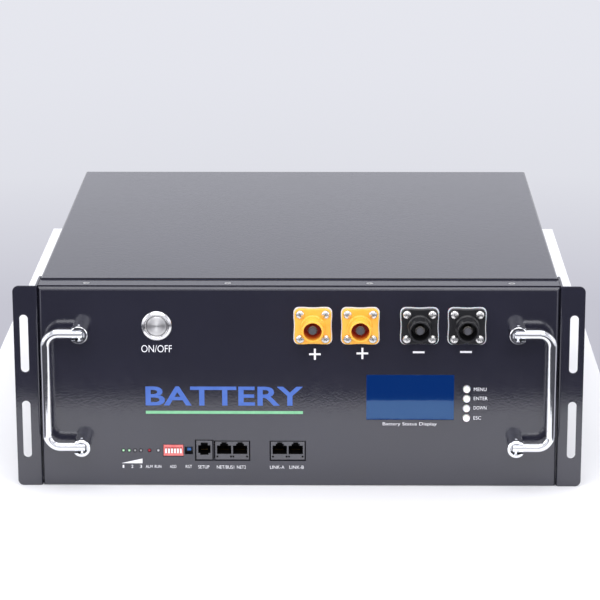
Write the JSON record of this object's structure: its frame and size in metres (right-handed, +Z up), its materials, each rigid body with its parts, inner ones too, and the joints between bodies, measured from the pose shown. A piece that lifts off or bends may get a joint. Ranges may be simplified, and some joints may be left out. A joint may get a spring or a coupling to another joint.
{
  "type": "rack mount deep cycle battery",
  "caption": "Rack mount deep cycle lithium battery with folding front handles, slotted rack ears, plug-in power connectors, display, data sockets and a power button.",
  "frame": {"origin": "centre of the case's underside, midway between the front face and the rear face", "axes": "-Y out of the front panel, +X to the right seen from the front, +Z up"},
  "size_m": [0.4826, 0.46, 0.1778],
  "materials": {
    "black_coat": "satin powder coat with a fine orange peel",
    "chrome_plate": "polished",
    "stainless": "turned",
    "zinc_plate": "zinc plated",
    "orange_plastic": "moulded nylon",
    "black_plastic": "moulded nylon",
    "grey_plastic": "moulded",
    "white_plastic": "moulded",
    "red_plastic": "moulded",
    "blue_plastic": "moulded",
    "green_light": "clear lens",
    "red_light": "clear lens",
    "white_light": "clear lens",
    "seal_rubber": "moulded",
    "silver_contact": "silver plated",
    "gold_contact": "gold flash",
    "lens_clear": "clear acrylic",
    "lcd_glass": "blue backlit panel",
    "circuit_board": "solder mask",
    "cell_wrap": "film wrapped aluminium case",
    "terminal_aluminium": "machined",
    "copper": "tinned copper",
    "aluminium": "plain",
    "board_pad": "glass epoxy sheet",
    "red_cable": "silicone jacket",
    "black_cable": "silicone jacket"
  },
  "bodies": {
    "case": {"address_switch": "red_plastic", "alarm_light": "red_light", "base_pad": "board_pad", "bms_board": "circuit_board", "bms_heatsink": "aluminium", "board_fixings": "zinc_plate", "busbar_bolts": "zinc_plate", "busbars": "copper", "cell_clamp": "aluminium", "cell_terminals": "terminal_aluminium", "cells": "cell_wrap", "charge_lights": "green_light", "chassis_tray": "black_coat", "comms_board": "circuit_board", "connector_screws": "stainless", "contact_tips": "grey_plastic", "display_board": "circuit_board", "display_lens": "lens_clear", "front_frame": "black_coat", "front_panel": "black_coat", "handle_pivot_pins": "chrome_plate", "handle_posts": "chrome_plate", "handle_screws": "zinc_plate", "jack_contacts": "gold_contact", "key_switches": "black_plastic", "lcd_module": "lcd_glass", "left_rack_ear": "black_coat", "link_jack": "black_plastic", "negative_cables": "black_cable", "negative_connector_1": "black_plastic", "negative_connector_2": "black_plastic", "network_jack": "black_plastic", "panel_screws": "zinc_plate", "panel_seals": "seal_rubber", "positive_cable": "red_cable", "positive_connector_1": "orange_plastic", "positive_connector_2": "orange_plastic", "power_contacts": "silver_contact", "reset_switch": "black_plastic", "right_rack_ear": "black_coat", "run_light": "white_light", "service_jack": "black_plastic", "side_screws": "black_coat", "switch_housing": "stainless", "switch_nut": "zinc_plate", "top_cover": "black_coat"},
    "left_handle": {"left_handle_bow": "chrome_plate"},
    "right_handle": {"right_handle_bow": "chrome_plate"},
    "power_button": {"switch_cap": "stainless"},
    "menu_button": {"menu_key": "white_plastic"},
    "enter_button": {"enter_key": "white_plastic"},
    "down_button": {"down_key": "white_plastic"},
    "escape_button": {"escape_key": "white_plastic"},
    "reset": {"reset_button": "blue_plastic"},
    "slider_1": {"address_slider_1": "white_plastic"},
    "slider_2": {"address_slider_2": "white_plastic"},
    "slider_3": {"address_slider_3": "white_plastic"},
    "slider_4": {"address_slider_4": "white_plastic"},
    "slider_5": {"address_slider_5": "white_plastic"},
    "slider_6": {"address_slider_6": "white_plastic"}
  },
  "joints": [
    {"name": "left_handle_fold", "type": "hinge", "parent": "case", "child": "left_handle", "pos_m": [-0.1844, -0.234, 0.0897], "axis": [0, 0, 1], "range_deg": [0, 90]},
    {"name": "right_handle_fold", "type": "hinge", "parent": "case", "child": "right_handle", "pos_m": [0.1844, -0.234, 0.0897], "axis": [0, 0, -1], "range_deg": [0, 90]},
    {"name": "power_button_press", "type": "slide", "parent": "case", "child": "power_button", "axis": [0, 1, 0], "range_m": [0, 0.002], "stiffness_N_per_m": 1500},
    {"name": "menu_key_press", "type": "slide", "parent": "case", "child": "menu_button", "axis": [0, 1, 0], "range_m": [0, 0.0008], "stiffness_N_per_m": 1000},
    {"name": "enter_key_press", "type": "slide", "parent": "case", "child": "enter_button", "axis": [0, 1, 0], "range_m": [0, 0.0008], "stiffness_N_per_m": 1000},
    {"name": "down_key_press", "type": "slide", "parent": "case", "child": "down_button", "axis": [0, 1, 0], "range_m": [0, 0.0008], "stiffness_N_per_m": 1000},
    {"name": "escape_key_press", "type": "slide", "parent": "case", "child": "escape_button", "axis": [0, 1, 0], "range_m": [0, 0.0008], "stiffness_N_per_m": 1000},
    {"name": "reset_press", "type": "slide", "parent": "case", "child": "reset", "axis": [0, 1, 0], "range_m": [0, 0.0005], "stiffness_N_per_m": 1500},
    {"name": "slider_1_slide", "type": "slide", "parent": "case", "child": "slider_1", "axis": [0, 0, 1], "range_m": [0, 0.0012]},
    {"name": "slider_2_slide", "type": "slide", "parent": "case", "child": "slider_2", "axis": [0, 0, 1], "range_m": [0, 0.0012]},
    {"name": "slider_3_slide", "type": "slide", "parent": "case", "child": "slider_3", "axis": [0, 0, 1], "range_m": [0, 0.0012]},
    {"name": "slider_4_slide", "type": "slide", "parent": "case", "child": "slider_4", "axis": [0, 0, 1], "range_m": [0, 0.0012]},
    {"name": "slider_5_slide", "type": "slide", "parent": "case", "child": "slider_5", "axis": [0, 0, 1], "range_m": [0, 0.0012]},
    {"name": "slider_6_slide", "type": "slide", "parent": "case", "child": "slider_6", "axis": [0, 0, 1], "range_m": [0, 0.0012]}
  ]
}
